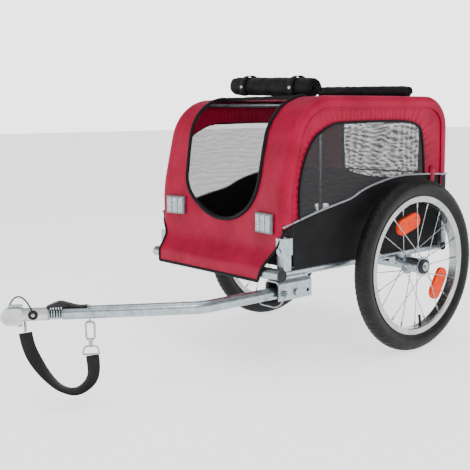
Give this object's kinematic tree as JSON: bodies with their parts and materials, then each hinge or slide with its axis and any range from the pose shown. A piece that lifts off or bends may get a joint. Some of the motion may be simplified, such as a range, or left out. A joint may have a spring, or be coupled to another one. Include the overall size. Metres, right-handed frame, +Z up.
{
  "type": "bicycle trailer",
  "caption": "Two-wheeled bicycle trailer with a folding fabric cabin, mesh windows, an open front and a bent drawbar with a sprung hitch.",
  "frame": {"origin": "middle of the overall length and width, at the ground under the tyres", "axes": "+X forward to the hitch, +Y to the left side where the drawbar is, +Z up"},
  "size_m": [1.1018, 0.5756, 0.6341],
  "materials": {
    "red_fabric": "matte",
    "black_fabric": "matte",
    "black_mesh": "matte",
    "zinc_steel": "satin",
    "chrome": "polished",
    "tyre": "matte",
    "rubber": "satin",
    "black_plastic": "satin",
    "orange_reflector": "gloss",
    "silver_reflector": "gloss",
    "cast_aluminium": "satin"
  },
  "bodies": {
    "chassis": {"side_rails": "zinc_steel", "front_cross_tube": "zinc_steel", "rear_cross_tube": "zinc_steel", "tube_plugs": "black_plastic", "axle_tube": "zinc_steel", "axle_saddles": "zinc_steel", "wheel_axles": "chrome", "floor_panel": "black_fabric", "hinge_bases": "zinc_steel", "hinge_pins": "zinc_steel", "side_skirts": "red_fabric", "cover_front": "red_fabric", "cover_roof": "red_fabric", "cover_rear": "red_fabric", "rear_screen": "black_mesh", "cover_rolls": "red_fabric", "roll_straps": "black_fabric", "front_markers": "silver_reflector", "drawbar_bracket": "zinc_steel", "drawbar_liner": "black_plastic", "pivot_bolt": "zinc_steel"},
    "wheel_left": {"tyre_left": "tyre", "rim_left": "chrome", "inner_tube_left": "rubber", "spokes_left": "chrome", "hub_shell_left": "zinc_steel", "hub_bearings_left": "black_plastic", "spoke_reflectors_left": "orange_reflector"},
    "wheel_right": {"tyre_right": "tyre", "rim_right": "chrome", "inner_tube_right": "rubber", "spokes_right": "chrome", "hub_shell_right": "zinc_steel", "hub_bearings_right": "black_plastic", "spoke_reflectors_right": "orange_reflector"},
    "release_left": {"release_button_left": "chrome"},
    "release_right": {"release_button_right": "chrome"},
    "side_frame_left": {"side_hoop_left": "zinc_steel", "hinge_caps_left": "zinc_steel", "side_panel_left": "red_fabric", "window_mesh_left": "black_mesh"},
    "side_frame_right": {"side_hoop_right": "zinc_steel", "hinge_caps_right": "zinc_steel", "side_panel_right": "red_fabric", "window_mesh_right": "black_mesh"},
    "drawbar": {"drawbar_tube": "zinc_steel", "tube_eye": "zinc_steel", "spring_cover": "rubber", "hitch_spring": "zinc_steel", "safety_strap": "black_fabric", "strap_dring": "chrome", "snap_hook": "chrome"},
    "lock": {"lock_pin": "zinc_steel", "lock_bail": "zinc_steel"},
    "hitch_joint": {"hitch_core": "rubber"},
    "hitch": {"hitch_head": "cast_aluminium", "strap_ring": "zinc_steel", "pin_tether": "black_fabric"},
    "hitch_drop_pin": {"hitch_pin": "zinc_steel"},
    "hook_gate": {"hook_gate": "chrome"}
  },
  "joints": [
    {"name": "wheel_left_spin", "type": "hinge", "parent": "chassis", "child": "wheel_left", "pos_m": [-0.35094, 0.254, 0.2], "axis": [0, 1, 0], "continuous": true},
    {"name": "wheel_right_spin", "type": "hinge", "parent": "chassis", "child": "wheel_right", "pos_m": [-0.35094, -0.254, 0.2], "axis": [0, 1, 0], "continuous": true},
    {"name": "release_left_push", "type": "slide", "parent": "chassis", "child": "release_left", "axis": [0, -1, 0], "range_m": [0, 0.003], "stiffness_N_per_m": 400},
    {"name": "release_right_push", "type": "slide", "parent": "chassis", "child": "release_right", "axis": [0, 1, 0], "range_m": [0, 0.003], "stiffness_N_per_m": 400},
    {"name": "fold_left", "type": "hinge", "parent": "chassis", "child": "side_frame_left", "pos_m": [-0.25094, 0.204, 0.271], "axis": [1, 0, 0], "range_deg": [0, 90], "deforming": ["cover_front", "cover_roof", "cover_rear", "rear_screen", "side_skirts"]},
    {"name": "fold_right", "type": "hinge", "parent": "chassis", "child": "side_frame_right", "pos_m": [-0.25094, -0.204, 0.249], "axis": [-1, 0, 0], "range_deg": [0, 90], "deforming": ["cover_front", "cover_roof", "cover_rear", "rear_screen", "side_skirts"]},
    {"name": "drawbar_fold", "type": "hinge", "parent": "chassis", "child": "drawbar", "pos_m": [-0.00094, 0.2, 0.184], "axis": [0, 1, 0], "range_deg": [0, 170], "deforming": ["safety_strap"]},
    {"name": "lock_pull", "type": "slide", "parent": "chassis", "child": "lock", "axis": [0, 1, 0], "range_m": [0, 0.055], "deforming": ["lock_bail"]},
    {"name": "hitch_yaw", "type": "hinge", "parent": "drawbar", "child": "hitch_joint", "pos_m": [0.46054, 0.04968, 0.184], "axis": [0, 0, 1], "range_deg": [-20, 20], "stiffness_Nm_per_rad": 6, "deforming": ["hitch_core", "hitch_spring", "spring_cover", "safety_strap"]},
    {"name": "hitch_pitch", "type": "hinge", "parent": "hitch_joint", "child": "hitch", "pos_m": [0.46054, 0.04968, 0.184], "axis": [0.5446, 0.8387, 0], "range_deg": [-20, 20], "stiffness_Nm_per_rad": 6, "deforming": ["hitch_core", "hitch_spring", "spring_cover", "safety_strap"]},
    {"name": "drop_pin_lift", "type": "slide", "parent": "hitch", "child": "hitch_drop_pin", "axis": [0, 0, 1], "range_m": [0, 0.03], "deforming": ["pin_tether"]},
    {"name": "hook_gate_press", "type": "hinge", "parent": "drawbar", "child": "hook_gate", "pos_m": [0.41525, 0.07909, 0.1429], "axis": [-0.5446, -0.8387, 0], "range_deg": [0, 25], "stiffness_Nm_per_rad": 0.03, "springref_deg": -17.19}
  ]
}
